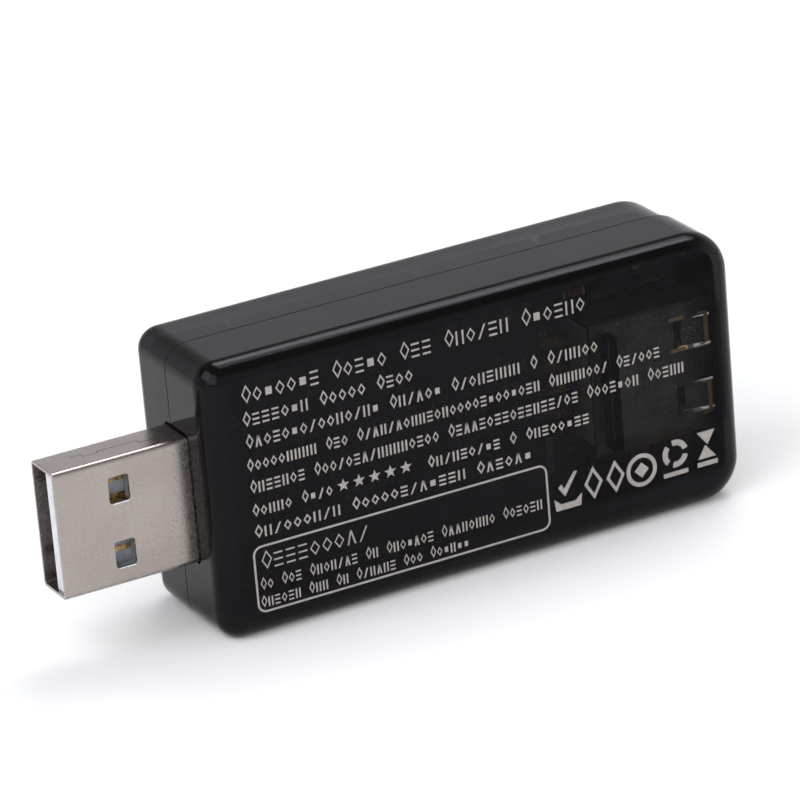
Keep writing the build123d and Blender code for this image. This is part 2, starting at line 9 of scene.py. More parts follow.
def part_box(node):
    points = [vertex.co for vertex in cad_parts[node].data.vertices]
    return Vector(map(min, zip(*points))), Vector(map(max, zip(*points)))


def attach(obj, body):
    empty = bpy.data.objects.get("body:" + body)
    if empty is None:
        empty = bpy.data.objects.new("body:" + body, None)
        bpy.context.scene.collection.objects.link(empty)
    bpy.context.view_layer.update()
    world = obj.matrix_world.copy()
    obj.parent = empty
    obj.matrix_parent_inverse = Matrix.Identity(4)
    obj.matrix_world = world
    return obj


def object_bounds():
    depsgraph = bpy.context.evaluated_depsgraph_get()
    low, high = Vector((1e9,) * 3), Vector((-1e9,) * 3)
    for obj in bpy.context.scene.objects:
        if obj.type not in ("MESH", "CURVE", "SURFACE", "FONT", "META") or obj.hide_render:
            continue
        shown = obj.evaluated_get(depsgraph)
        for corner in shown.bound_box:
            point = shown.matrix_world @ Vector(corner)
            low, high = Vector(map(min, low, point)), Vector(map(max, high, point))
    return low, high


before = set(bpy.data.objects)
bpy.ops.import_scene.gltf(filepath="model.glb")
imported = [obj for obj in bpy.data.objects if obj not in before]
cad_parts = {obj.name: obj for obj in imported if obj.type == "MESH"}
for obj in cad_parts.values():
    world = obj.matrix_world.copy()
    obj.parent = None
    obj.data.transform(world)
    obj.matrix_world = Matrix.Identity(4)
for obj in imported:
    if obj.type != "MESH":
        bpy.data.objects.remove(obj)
cad_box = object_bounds()
mm = 0.001

# ---------------------------------------------------------------- main board
# The board is woven glass-fibre laminate, 1 mm thick, milled to its outline
# and dipped in a nearly black varnish. It sits on the pins of the rear cover.


def node_in(finish, kind, **sockets):
    """Adds a shader node to a material. Its sockets are set by name, to a value or to another output."""
    made = finish.node_tree.nodes.new("ShaderNode" + kind)
    for name, value in sockets.items():
        socket = made.inputs[name.replace("_", " ")]
        if isinstance(value, bpy.types.NodeSocket):
            finish.node_tree.links.new(value, socket)
        else:
            socket.default_value = value
    return made


def shader_of(finish):
    """The main shader of a material."""
    return finish.node_tree.nodes["Principled BSDF"]


def drive(finish, socket, output):
    """Links an output to a socket of the material's shader."""
    finish.node_tree.links.new(output, shader_of(finish).inputs[socket])


def place_in(finish, stretch=(1, 1, 1)):
    """Object coordinates, stretched along the axes."""
    place = node_in(finish, "TexCoord").outputs["Object"]
    return node_in(finish, "Mapping", Vector=place, Scale=stretch).outputs[0]


def patches(finish, size, low, high, stretch=(1, 1, 1), detail=4.0):
    """A value that wanders from low to high in soft patches of that size."""
    cloud = node_in(finish, "TexNoise", Vector=place_in(finish, stretch), Scale=1 / size, Detail=detail)
    spread = node_in(
        finish, "MapRange", Value=cloud.outputs[0], From_Min=0.36, From_Max=0.64, To_Min=low, To_Max=high
    )
    return spread.outputs[0]


def specks(finish, size, share):
    """One inside scattered small dots, and nought between them."""
    cells = node_in(finish, "TexVoronoi", Vector=place_in(finish), Scale=1 / size, Randomness=1.0)
    dots = node_in(
        finish, "MapRange", Value=cells.outputs["Distance"], From_Min=share, From_Max=share * 0.6
    )
    return dots.outputs[0]


def tone(finish, value, dark, light):
    """A colour between two, by a value from nought to one."""
    ramp = node_in(finish, "ValToRGB", Fac=value)
    ramp.color_ramp.elements[0].color = (*dark, 1)
    ramp.color_ramp.elements[1].color = (*light, 1)
    return ramp.outputs[0]


def overlay(finish, mask, under, over):
    """The over colour where the mask is one, and the under colour elsewhere."""
    mixed = node_in(finish, "MixRGB", Fac=mask, Color1=under)
    mixed.inputs["Color2"].default_value = (*over, 1)
    return mixed.outputs[0]


def relief(finish, height, depth, below=None):
    """Bump of that depth in metres, on top of another bump if one is given."""
    bump = node_in(finish, "Bump", Height=height, Distance=depth)
    if below is not None:
        finish.node_tree.links.new(below, bump.inputs["Normal"])
    return bump.outputs[0]


def plain_finish(name, dark, light, patch, rough, grain, depth, metallic=0.0):
    """A material whose colour wanders in patches, with a finer grain in its gloss and its surface."""
    finish = bpy.data.materials.new(name)
    finish.use_nodes = True
    drive(finish, "Base Color", tone(finish, patches(finish, patch, 0.0, 1.0), dark, light))
    drive(finish, "Roughness", patches(finish, grain * 3, rough[0], rough[1]))
    drive(finish, "Normal", relief(finish, patches(finish, grain, 0.0, 1.0), depth))
    shader_of(finish).inputs["Metallic"].default_value = metallic
    return finish


def paint(finish, *nodes):
    """Gives CAD nodes a finish."""
    for name in nodes:
        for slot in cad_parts[name].material_slots:
            slot.material = finish


def board_finish():
    """Black varnish over woven glass, whose weave shows faintly in the surface."""
    weave_scale = 1 / (6 * mm)
    finish = plain_finish(
        "board_varnish", dark=(0.004, 0.005, 0.004), light=(0.008, 0.009, 0.007),
        patch=2.5 * mm, rough=(0.32, 0.5), grain=0.12 * mm, depth=4e-6,
    )
    shader_of(finish).inputs["Specular IOR Level"].default_value = 0.15
    upright = node_in(finish, "TexWave", Vector=place_in(finish), Scale=weave_scale, Distortion=0.6)
    upright.bands_direction = "X"
    level = node_in(finish, "TexWave", Vector=place_in(finish), Scale=weave_scale, Distortion=0.6)
    level.bands_direction = "Z"
    weave = node_in(finish, "Math", Value=upright.outputs["Fac"])
    weave.operation = "MULTIPLY"
    finish.node_tree.links.new(level.outputs["Fac"], weave.inputs[1])
    drive(finish, "Normal", relief(finish, weave.outputs[0], 6e-6))
    return finish


board_low, board_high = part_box("main_board")
board_rear = board_low.y
board_front = board_high.y
paint(board_finish(), "main_board")

# ---------------------------------------------------------------- copper on the board
# Bare copper areas for the socket's shell and the sense resistor, the pads
# under every chip foot, the tracks between them and the plated holes. They
# are foil, etched from the sheet that the laminate is made with.


def add_box(shape, low, high):
    """Adds a box between two corners to the shape, and gives back its corner points."""
    low, high = Vector(low), Vector(high)
    made = bmesh.ops.create_cube(shape, size=1.0)["verts"]
    bmesh.ops.scale(shape, verts=made, vec=high - low)
    bmesh.ops.translate(shape, verts=made, vec=(low + high) / 2)
    return made


def soften(shape, width, segments=2):
    """Rounds the sharp edges of the shape."""
    edges = [
        edge
        for edge in shape.edges
        if len(edge.link_faces) == 2 and edge.calc_face_angle() > math.radians(30)
    ]
    bmesh.ops.bevel(
        shape, geom=edges, offset=width, segments=segments, profile=0.5,
        affect="EDGES", material=-1, clamp_overlap=True,
    )


def finished_piece(name, shape, finish, body="case", smooth=False):
    """Turns the shape into a piece of that name, with its finish, riding on a body."""
    bmesh.ops.recalc_face_normals(shape, faces=shape.faces)
    mesh = bpy.data.meshes.new(name)
    shape.to_mesh(mesh)
    shape.free()
    mesh.materials.append(finish)
    if smooth:
        mesh.shade_smooth()
    made = bpy.data.objects.new(name, mesh)
    bpy.context.scene.collection.objects.link(made)
    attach(made, body)


def solids_of(node):
    """The lowest and highest corner of every separate solid in a CAD node."""
    shape = bmesh.new()
    shape.from_mesh(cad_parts[node].data)
    bmesh.ops.remove_doubles(shape, verts=shape.verts, dist=1e-7)
    left = set(shape.verts)
    found = []
    while left:
        group = [left.pop()]
        for point in group:
            joined = [edge.other_vert(point) for edge in point.link_edges]
            new = [other for other in joined if other in left]
            left.difference_update(new)
            group.extend(new)
        low = Vector(min(point.co[axis] for point in group) for axis in range(3))
        high = Vector(max(point.co[axis] for point in group) for axis in range(3))
        found.append((low, high))
    shape.free()
    return sorted(found, key=lambda corners: (round(corners[0].x, 6), round(corners[0].z, 6)))


foil = 0.035 * mm
pad_margin = 0.18 * mm
pad_reach = 0.32 * mm
lead_margin = 0.05 * mm
small_parts = ("resistors", "capacitors", "signal_lamp", "shunt_resistor")
leads = ("controller_leads", "memory_leads", "amplifier_leads", "regulator_tab")

# The copper areas, in millimetres: the west and east end, then the bottom and top.
copper = bmesh.new()
upper_area = ((28.4, 31.4), (19.4, 22.2))
lower_area = ((26.2, 31.4), (2.2, 3.9))
side_area = ((30.4, 31.4), (7.2, 19.0))
for (west, east), (bottom, top) in (upper_area, lower_area, side_area):
    add_box(copper, (west * mm, board_rear - foil, bottom * mm), (east * mm, board_rear, top * mm))
soften(copper, 0.2 * mm)


def copper_finish():
    """Bare copper, gone brown, with darker patches of old flux."""
    return plain_finish(
        "bare_copper", dark=(0.20, 0.105, 0.05), light=(0.42, 0.26, 0.14),
        patch=0.9 * mm, rough=(0.28, 0.55), grain=0.06 * mm, depth=3e-6, metallic=1.0,
    )


finished_piece("board_copper", copper, copper_finish())

pads = bmesh.new()
for node in small_parts:
    for low, high in solids_of(node):
        span = high - low
        along = 0 if span.x > span.z else 2
        for end in (low[along], high[along]):
            centre = Vector(((low.x + high.x) / 2, 0, (low.z + high.z) / 2))
            centre[along] = end
            half = Vector((span.x / 2 + pad_margin, 0, span.z / 2 + pad_margin))
            half[along] = pad_reach
            add_box(
                pads,
                (centre.x - half.x, board_rear - foil, centre.z - half.z),
                (centre.x + half.x, board_rear, centre.z + half.z),
            )
for node in leads:
    for low, high in solids_of(node):
        add_box(
            pads,
            (low.x - lead_margin, board_rear - foil, low.z - lead_margin),
            (high.x + lead_margin, board_rear, high.z + lead_margin),
        )


def tin_finish():
    """Tin over copper: grey, softly bright, with a faint orange-peel surface."""
    return plain_finish(
        "tinned_pads", dark=(0.52, 0.51, 0.49), light=(0.74, 0.73, 0.70),
        patch=0.5 * mm, rough=(0.22, 0.42), grain=0.05 * mm, depth=3e-6, metallic=1.0,
    )


tin = tin_finish()
finished_piece("board_pads", pads, tin)

track_width = 0.25 * mm
track_rise = 0.03 * mm
tracks = bmesh.new()


def add_track(points):
    """Lays a track on the board's rear side, straight from point to point in millimetres."""
    for (x0, z0), (x1, z1) in zip(points, points[1:]):
        start, end = Vector((x0 * mm, 0, z0 * mm)), Vector((x1 * mm, 0, z1 * mm))
        run = end - start
        half = run.length / 2 + track_width / 2
        made = add_box(tracks, (-half, -track_rise, -track_width / 2), (half, 0, track_width / 2))
        turn = Matrix.Rotation(-math.atan2(run.z, run.x), 4, "Y")
        middle = (start + end) / 2
        bmesh.ops.transform(
            tracks, verts=made, matrix=Matrix.Translation((middle.x, board_rear, middle.z)) @ turn
        )


for step in range(5):
    add_track([
        (-4.4 + 0.65 * step, 13.4),
        (-4.4 + 0.65 * step, 15.2 + 0.5 * step),
        (5.0 - 0.5 * step, 19.6 + 0.3 * step),
        (6.3, 20.4),
    ])
for step in range(4):
    add_track([
        (-12.6, 9.0 + 1.9 * step),
        (-9.0, 9.0 + 1.9 * step),
        (-6.5, 10.0 + 0.7 * step),
        (-5.0, 10.0 + 0.7 * step),
    ])
for step in range(3):
    add_track([
        (1.6, 7.4 - 0.55 * step),
        (6.2 + 0.6 * step, 7.4 - 0.55 * step),
        (11.4, 9.4 - 0.55 * step),
        (13.1 + 0.45 * step, 9.9),
    ])
for step in range(3):
    add_track([(15.6, 12.0 + 0.6 * step), (17.2, 13.4 + 0.6 * step), (18.4, 13.4 + 0.6 * step)])
add_track([(10.8, 20.3), (13.0, 22.4), (20.3, 22.4), (21.4, 21.3)])
add_track([(17.9, 5.4), (20.6, 5.4), (22.8, 4.6)])
varnished_copper = plain_finish(
    "varnished_copper", dark=(0.012, 0.013, 0.008), light=(0.022, 0.022, 0.013),
    patch=1.5 * mm, rough=(0.22, 0.4), grain=0.1 * mm, depth=3e-6,
)
finished_piece("board_tracks", tracks, varnished_copper)

# Plated holes, by the place of their centre in millimetres.
hole_ring = 0.34 * mm
hole_core = 0.15 * mm
ring_places = (
    (-6.6, 7.6), (-13.6, 11.2), (-13.8, 16.4), (-2.6, 16.6),
    (0.4, 18.4), (2.4, 7.0), (5.9, 9.6), (7.4, 13.6),
    (11.2, 14.4), (17.3, 9.4), (17.9, 17.2), (16.6, 20.4),
    (12.2, 7.9), (-8.8, 22.6), (21.9, 3.0), (24.6, 22.2),
)
rings = bmesh.new()
for x, z in ring_places:
    outer = bmesh.ops.create_circle(rings, segments=20, radius=hole_ring)["verts"]
    inner = bmesh.ops.create_circle(rings, segments=20, radius=hole_core)["verts"]
    edges = list({edge for point in outer + inner for edge in point.link_edges})
    faces = bmesh.ops.bridge_loops(rings, edges=edges)["faces"]
    pushed = bmesh.ops.extrude_face_region(rings, geom=faces)["geom"]
    raised = [item for item in pushed if isinstance(item, bmesh.types.BMVert)]
    bmesh.ops.translate(rings, verts=raised, vec=(0, 0, foil))
    whole = list(set(outer + inner + raised))
    upright = Matrix.Rotation(math.radians(90), 4, "X")
    stand = Matrix.Translation((x * mm, board_rear, z * mm)) @ upright
    bmesh.ops.transform(rings, verts=whole, matrix=stand)
finished_piece("board_hole_rings", rings, tin)

# ---------------------------------------------------------------- chips and small parts
# Four moulded chips with bent tinned feet, a wide sense resistor, rows of
# small resistors and capacitors with metal ends, and one red lamp. They are
# placed on the board's rear side and soldered in an oven.


def chip_finish():
    """Black epoxy with a fine moulded grain."""
    return plain_finish(
        "chip_epoxy", dark=(0.010, 0.010, 0.011), light=(0.020, 0.020, 0.021),
        patch=0.8 * mm, rough=(0.42, 0.62), grain=0.04 * mm, depth=5e-6,
    )


def resistor_finish():
    """Dark glaze on pale ceramic."""
    return plain_finish(
        "resistor_glaze", dark=(0.012, 0.012, 0.014), light=(0.03, 0.03, 0.032),
        patch=0.4 * mm, rough=(0.18, 0.32), grain=0.05 * mm, depth=2e-6,
    )


def capacitor_finish():
    """Fired ceramic, tan and matt."""
    return plain_finish(
        "capacitor_ceramic", dark=(0.26, 0.17, 0.09), light=(0.36, 0.25, 0.15),
        patch=0.4 * mm, rough=(0.35, 0.5), grain=0.05 * mm, depth=2e-6,
    )


def lamp_finish():
    """Red resin, clear and a little cloudy."""
    finish = plain_finish(
        "red_lamp_resin", dark=(0.42, 0.010, 0.008), light=(0.62, 0.022, 0.014),
        patch=0.3 * mm, rough=(0.10, 0.22), grain=0.05 * mm, depth=2e-6,
    )
    shader_of(finish).inputs["Coat Weight"].default_value = 0.5
    return finish


paint(chip_finish(), "controller_chip", "memory_chip", "amplifier_chip", "regulator_chip")
paint(tin, "controller_leads", "memory_leads", "amplifier_leads", "regulator_tab", "switch_terminals")
paint(resistor_finish(), "resistors", "shunt_resistor")
paint(capacitor_finish(), "capacitors")
paint(lamp_finish(), "signal_lamp")

# Metal ends, each a share of the length of the part it wraps.
cap_skin = 0.02 * mm
ends = bmesh.new()
for node, end_share in (("resistors", 0.2), ("capacitors", 0.22), ("shunt_resistor", 0.12)):
    for low, high in solids_of(node):
        span = high - low
        along = 0 if span.x > span.z else 2
        for side in (0, 1):
            start, stop = low.copy(), high.copy()
            if side:
                start[along] = high[along] - span[along] * end_share
            else:
                stop[along] = low[along] + span[along] * end_share
            grown = Vector((cap_skin, cap_skin, cap_skin))
            stop_at_board = Vector((stop.x + cap_skin, board_rear, stop.z + cap_skin))
            add_box(ends, start - grown, stop_at_board)
soften(ends, 0.05 * mm)
finished_piece("part_end_caps", ends, tin)

fillets = bmesh.new()
fillet_taper = 0.42
fillet_stretch = 1.6


def add_fillet(x, z, foot, rise, side):
    """A low cone of solder round a leg, on the board's front for side 1 and on its rear for -1."""
    made = bmesh.ops.create_cone(
        fillets, cap_ends=True, cap_tris=False, segments=20,
        radius1=foot, radius2=foot * fillet_taper, depth=rise,
    )["verts"]
    bmesh.ops.scale(fillets, verts=made, vec=(fillet_stretch, 1, 1))
    turn = Matrix.Rotation(math.radians(90 * -side), 4, "X")
    surface = board_rear if side < 0 else board_front
    middle = surface + side * rise / 2
    bmesh.ops.transform(fillets, verts=made, matrix=Matrix.Translation((x, middle, z)) @ turn)


plug_low, plug_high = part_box("plug_shell")
socket_low, socket_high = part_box("socket_shell")
plug_leg_x = plug_high.x - 1.6 * mm
socket_leg_x = socket_low.x + 5.8 * mm
shell_wall = 0.3 * mm
leg_foot, leg_rise = 0.85 * mm, 0.4 * mm
tail_foot, tail_rise, tail_inset = 0.55 * mm, 0.22 * mm, 0.6 * mm
for z in (plug_low.z + shell_wall / 2, plug_high.z - shell_wall / 2):
    add_fillet(plug_leg_x, z, leg_foot, leg_rise, side=1)
for z in (socket_low.z + 0.75 * mm, socket_high.z - 0.75 * mm):
    add_fillet(socket_leg_x, z, leg_foot, leg_rise, side=1)
for low, high in solids_of("plug_contacts"):
    add_fillet(high.x - tail_inset, (low.z + high.z) / 2, tail_foot, tail_rise, side=-1)
for low, high in solids_of("socket_contacts"):
    add_fillet(low.x + tail_inset, (low.z + high.z) / 2, tail_foot, tail_rise, side=-1)


def solder_finish():
    """Reflowed solder: bright, with a frosted skin in places."""
    return plain_finish(
        "solder", dark=(0.60, 0.60, 0.59), light=(0.80, 0.80, 0.79),
        patch=0.25 * mm, rough=(0.12, 0.38), grain=0.04 * mm, depth=3e-6, metallic=1.0,
    )


soften(fillets, 0.08 * mm)
finished_piece("solder_joints", fillets, solder_finish(), smooth=True)

# ---------------------------------------------------------------- display
# A glass display lies over a white plastic light box, held to the board by
# double-sided tape, with a foam gasket round its edge and a folded film
# ribbon soldered to the board over its upper edge.


def light_box_finish():
    """White plastic, smooth and slightly shiny."""
    return plain_finish(
        "light_box_plastic", dark=(0.68, 0.68, 0.66), light=(0.78, 0.78, 0.76),
        patch=2 * mm, rough=(0.35, 0.5), grain=0.1 * mm, depth=3e-6,
    )


def tape_finish():
    """White foam tape, matt."""
    return plain_finish(
        "tape_white", dark=(0.60, 0.60, 0.57), light=(0.72, 0.72, 0.69),
        patch=1.5 * mm, rough=(0.6, 0.8), grain=0.2 * mm, depth=8e-6,
    )


def foam_finish():
    """Black foam with open cells."""
    return plain_finish(
        "foam_black", dark=(0.008, 0.008, 0.008), light=(0.03, 0.03, 0.03),
        patch=0.15 * mm, rough=(0.8, 0.95), grain=0.12 * mm, depth=4e-5,
    )


def screen_finish():
    """Unlit display glass: dark grey-green under a hard smooth face."""
    finish = plain_finish(
        "screen_glass", dark=(0.020, 0.026, 0.025), light=(0.026, 0.033, 0.030),
        patch=6 * mm, rough=(0.05, 0.10), grain=0.3 * mm, depth=1e-6,
    )
    shader_of(finish).inputs["IOR"].default_value = 1.52
    return finish


def ribbon_finish():
    """Amber film over copper."""
    return plain_finish(
        "ribbon_film", dark=(0.10, 0.045, 0.012), light=(0.17, 0.080, 0.022),
        patch=1.2 * mm, rough=(0.2, 0.35), grain=0.1 * mm, depth=3e-6,
    )


paint(light_box_finish(), "display_backlight")
paint(tape_finish(), "display_tape")
paint(foam_finish(), "display_gasket", "window_adhesive")
paint(screen_finish(), "display_glass")
paint(ribbon_finish(), "display_ribbon")

# The ribbon's conductors: fine upright lines on its film.
ribbon_low, ribbon_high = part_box("display_ribbon")
conductor_pitch = 0.5 * mm
conductor_width = 0.22 * mm
conductors = bmesh.new()
count = int((ribbon_high.x - ribbon_low.x - 0.8 * mm) / conductor_pitch)
for number in range(count):
    x = ribbon_low.x + 0.6 * mm + number * conductor_pitch
    add_box(
        conductors,
        (x, ribbon_low.y - 0.02 * mm, ribbon_low.z + 0.25 * mm),
        (x + conductor_width, ribbon_low.y + 0.01 * mm, ribbon_high.z - 0.5 * mm),
    )
conductor_finish = plain_finish(
    "conductors_under_film", dark=(0.12, 0.085, 0.05), light=(0.20, 0.145, 0.09),
    patch=0.8 * mm, rough=(0.25, 0.4), grain=0.06 * mm, depth=2e-6,
)
finished_piece("ribbon_conductors", conductors, conductor_finish)

# The display's electrodes: rows of seven-bar digits, which show faintly when it
# isn't lit. Each group of three has a point and three small marks at its end.
screen_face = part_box("display_glass")[1].y
window_low, window_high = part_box("display_window")
screen_centre = Vector(((window_low.x + window_high.x) / 2, 0, (window_low.z + window_high.z) / 2))
electrode = 0.012 * mm
digits = bmesh.new()


def add_bar(x, z, wide, tall):
    """A flat bar on the display's face, centred on a point."""
    add_box(
        digits,
        (x - wide / 2, screen_face, z - tall / 2),
        (x + wide / 2, screen_face + electrode, z + tall / 2),
    )


def add_digit(x, z, tall, bar):
    """Seven bars in the figure of a digit, which goes east from x and up from z."""
    wide = tall * 0.5
    gap = bar * 0.35
    for level in (0, 1, 2):
        add_bar(x + wide / 2, z + level * (tall - bar) / 2 + bar / 2, wide - 2 * bar - 2 * gap, bar)
    for side in (0, 1):
        for half in (0, 1):
            add_bar(
                x + bar / 2 + side * (wide - bar),
                z + tall / 4 + half * tall / 2 + (bar / 4 if half == 0 else -bar / 4),
                bar,
                tall / 2 - bar - 2 * gap,
            )


row_height = 4.6 * mm
row_gap = 1.3 * mm
row_inset = 13.0 * mm
group_pitch = 13.6 * mm
digit_pitch = 3.6 * mm
digit_bar = 0.5 * mm
mark_pitch = 1.1 * mm
for row in (0, 1):
    bottom = screen_centre.z + row_gap / 2 if row else screen_centre.z - row_gap / 2 - row_height
    for group in (0, 1):
        first = screen_centre.x - row_inset + group * group_pitch
        for place in range(3):
            add_digit(first + place * digit_pitch, bottom, row_height, digit_bar)
        add_bar(first + digit_pitch - 0.62 * mm, bottom + 0.25 * mm, digit_bar, digit_bar)
        marks_x = first + 3 * digit_pitch + 0.5 * mm
        for mark in range(3):
            add_bar(marks_x, bottom + 0.5 * mm + mark * mark_pitch, 0.9 * mm, 0.55 * mm)
electrode_finish = plain_finish(
    "screen_electrodes", dark=(0.056, 0.068, 0.064), light=(0.068, 0.081, 0.076),
    patch=3 * mm, rough=(0.1, 0.2), grain=0.2 * mm, depth=1e-6,
)
finished_piece("screen_electrodes", digits, electrode_finish)

# ---------------------------------------------------------------- display window
# A clear tinted plastic plate, stuck into the front cover by a frame of
# black foam tape. A black border is printed on its inner face.


def window_finish():
    """Grey tinted plastic, clear enough to read through."""
    finish = plain_finish(
        "window_plastic", dark=(0.012, 0.012, 0.014), light=(0.018, 0.018, 0.020),
        patch=8 * mm, rough=(0.03, 0.09), grain=0.25 * mm, depth=1e-6,
    )
    shader_of(finish).inputs["Alpha"].default_value = 0.22
    shader_of(finish).inputs["IOR"].default_value = 1.45
    return finish


paint(window_finish(), "display_window")

border_width = 1.9 * mm
border_ink = 0.02 * mm
border_inset = 0.12 * mm
border_bottom = window_low.z + border_width
border_top = window_high.z - border_width
border = bmesh.new()
for west, east, bottom, top in (
    (window_low.x, window_high.x, window_low.z, border_bottom),
    (window_low.x, window_high.x, border_top, window_high.z),
    (window_low.x, window_low.x + border_width, border_bottom, border_top),
    (window_high.x - border_width, window_high.x, border_bottom, border_top),
):
    west, east = max(west, window_low.x + border_inset), min(east, window_high.x - border_inset)
    bottom, top = max(bottom, window_low.z + border_inset), min(top, window_high.z - border_inset)
    add_box(border, (west, window_low.y - border_ink, bottom), (east, window_low.y, top))
ink_black = plain_finish(
    "border_ink", dark=(0.004, 0.004, 0.004), light=(0.008, 0.008, 0.008),
    patch=1 * mm, rough=(0.5, 0.7), grain=0.08 * mm, depth=2e-6,
)
finished_piece("window_border", border, ink_black)

# ---------------------------------------------------------------- button and its switch
# The button is a black cap with a shallow dish, which rests on the red stem
# of a small push switch. The switch is a black moulding with a steel lid,
# held by four tinned legs that are soldered to the board.


def button_finish():
    """Black plastic with a satin skin."""
    return plain_finish(
        "button_plastic", dark=(0.010, 0.010, 0.011), light=(0.018, 0.018, 0.019),
        patch=1.5 * mm, rough=(0.28, 0.42), grain=0.07 * mm, depth=5e-6,
    )


def moulding_finish():
    """Black plastic, matt."""
    return plain_finish(
        "switch_moulding", dark=(0.012, 0.012, 0.012), light=(0.022, 0.022, 0.022),
        patch=1 * mm, rough=(0.4, 0.55), grain=0.06 * mm, depth=4e-6,
    )


def plunger_finish():
    """Red plastic, a little brown."""
    return plain_finish(
        "switch_stem", dark=(0.30, 0.035, 0.02), light=(0.40, 0.055, 0.03),
        patch=0.8 * mm, rough=(0.3, 0.45), grain=0.05 * mm, depth=3e-6,
    )


def steel_finish():
    """Stainless strip with the fine lines of its rolling."""
    finish = plain_finish(
        "switch_steel", dark=(0.50, 0.49, 0.47), light=(0.66, 0.65, 0.63),
        patch=0.7 * mm, rough=(0.22, 0.4), grain=0.06 * mm, depth=2e-6, metallic=1.0,
    )
    drive(finish, "Normal", relief(finish, patches(finish, 0.08 * mm, 0, 1, (0.04, 1, 1)), 2e-6))
    return finish


paint(button_finish(), "button_cap")
paint(moulding_finish(), "switch_base")
paint(plunger_finish(), "switch_plunger")
paint(steel_finish(), "switch_cover", "switch_dome")

# ---------------------------------------------------------------- plug
# A nickel-plated steel sheet folded into a box round a white nylon slab that
# carries four gold-plated contacts. Its skin is finely peened and has a few
# dark specks, and each latch hole shows a pocket in the slab behind it.


def plug_finish():
    """Nickel plate: softly clouded, specked, and peened over a slow wave in the sheet."""
    finish = bpy.data.materials.new("plug_nickel")
    finish.use_nodes = True
    shader = shader_of(finish)
    shader.inputs["Metallic"].default_value = 1.0
    cloudy = tone(finish, patches(finish, 6 * mm, 0, 1), (0.352, 0.308, 0.286), (0.388, 0.344, 0.320))
    spotted = overlay(finish, specks(finish, 1.1 * mm, 0.06), cloudy, (0.16, 0.14, 0.12))
    drive(finish, "Base Color", spotted)
    drive(finish, "Roughness", patches(finish, 0.3 * mm, 0.22, 0.30))
    peened = relief(finish, patches(finish, 0.11 * mm, 0, 1, detail=2.0), 0.5e-6)
    waved = relief(finish, patches(finish, 4 * mm, 0, 1, detail=1.0), 3e-6, peened)
    drive(finish, "Normal", waved)
    return finish


def gold_finish():
    """Gold plate over nickel."""
    return plain_finish(
        "contact_gold", dark=(0.72, 0.50, 0.20), light=(0.88, 0.66, 0.32),
        patch=0.8 * mm, rough=(0.18, 0.32), grain=0.05 * mm, depth=2e-6, metallic=1.0,
    )


def nylon_finish():
    """White nylon, slightly blue and waxy."""
    finish = plain_finish(
        "nylon_white", dark=(0.54, 0.55, 0.58), light=(0.63, 0.64, 0.67),
        patch=1.5 * mm, rough=(0.35, 0.5), grain=0.08 * mm, depth=4e-6,
    )
    shader_of(finish).inputs["Subsurface Weight"].default_value = 0.15
    glow_depth = 0.4 * mm
    shader_of(finish).inputs["Subsurface Radius"].default_value = (glow_depth, glow_depth, glow_depth)
    shader_of(finish).inputs["Subsurface Scale"].default_value = 1.0
    return finish


gold = gold_finish()
nylon = nylon_finish()
paint(plug_finish(), "plug_shell")
paint(gold, "plug_contacts", "socket_contacts")
paint(nylon, "plug_insulator", "socket_tongue")

# Behind each latch hole the slab is hollowed out, down to a floor that the gilt edges of the
# contacts cross. One wall of each pocket is gilt too. The white nylon floor and walls are coloured
# blue-grey as painted shade, and all the gilt is gold darkened by painted shade.
hole_x = plug_low.x + 6.1 * mm
hole_long = 2.0 * mm
hole_wide = 2.5 * mm
hole_step = 6.1 * mm
pocket_spare = 0.14 * mm
pocket_deep = 1.1 * mm
pocket_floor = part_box("plug_insulator")[0].y + pocket_deep
plate = 0.06 * mm
band_half = 0.24 * mm
slab_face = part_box("plug_insulator")[0].y
floors = bmesh.new()
shaded_gilt_pieces = bmesh.new()
plug_z = (plug_low.z + plug_high.z) / 2
half_x = hole_long / 2 + pocket_spare
half_z = hole_wide / 2 + pocket_spare
for side, bands in ((-1, (0.02 * mm,)), (1, (-1.12 * mm, 0.5 * mm))):
    z = plug_z + side * hole_step / 2
    add_box(
        floors,
        (hole_x - half_x, pocket_floor - plate, z - half_z),
        (hole_x + half_x, pocket_floor, z + half_z),
    )
    for end in (-1, 1):
        wall_x = hole_x + end * (half_x - plate / 2)
        wall_z = z + end * (half_z - plate / 2)
        add_box(
            floors,
            (wall_x - plate / 2, slab_face, z - half_z),
            (wall_x + plate / 2, pocket_floor, z + half_z),
        )
        add_box(
            shaded_gilt_pieces if end == -side else floors,
            (hole_x - half_x + plate, slab_face, wall_z - plate / 2),
            (hole_x + half_x - plate, pocket_floor - plate, wall_z + plate / 2),
        )
    for band in bands:
        add_box(
            shaded_gilt_pieces,
            (hole_x - half_x + plate, pocket_floor - 2.2 * plate, z + band - band_half),
            (hole_x + half_x - plate, pocket_floor - plate, z + band + band_half),
        )
# Painted shade: the pocket's white nylon, coloured a dark blue-grey.
nylon_in_painted_shade = plain_finish(
    "nylon_in_painted_shade", dark=(0.17, 0.185, 0.20), light=(0.26, 0.275, 0.295),
    patch=0.8 * mm, rough=(0.4, 0.55), grain=0.08 * mm, depth=3e-6,
)
# Painted shade: gold darkened to show it in the shade of the pocket.
gilt_in_painted_shade = plain_finish(
    "gilt_in_painted_shade", dark=(0.10, 0.065, 0.025), light=(0.50, 0.36, 0.17),
    patch=0.35 * mm, rough=(0.3, 0.5), grain=0.05 * mm, depth=3e-6, metallic=1.0,
)
finished_piece("latch_pocket_floors", floors, nylon_in_painted_shade)
finished_piece("latch_pocket_shaded_gilt", shaded_gilt_pieces, gilt_in_painted_shade)
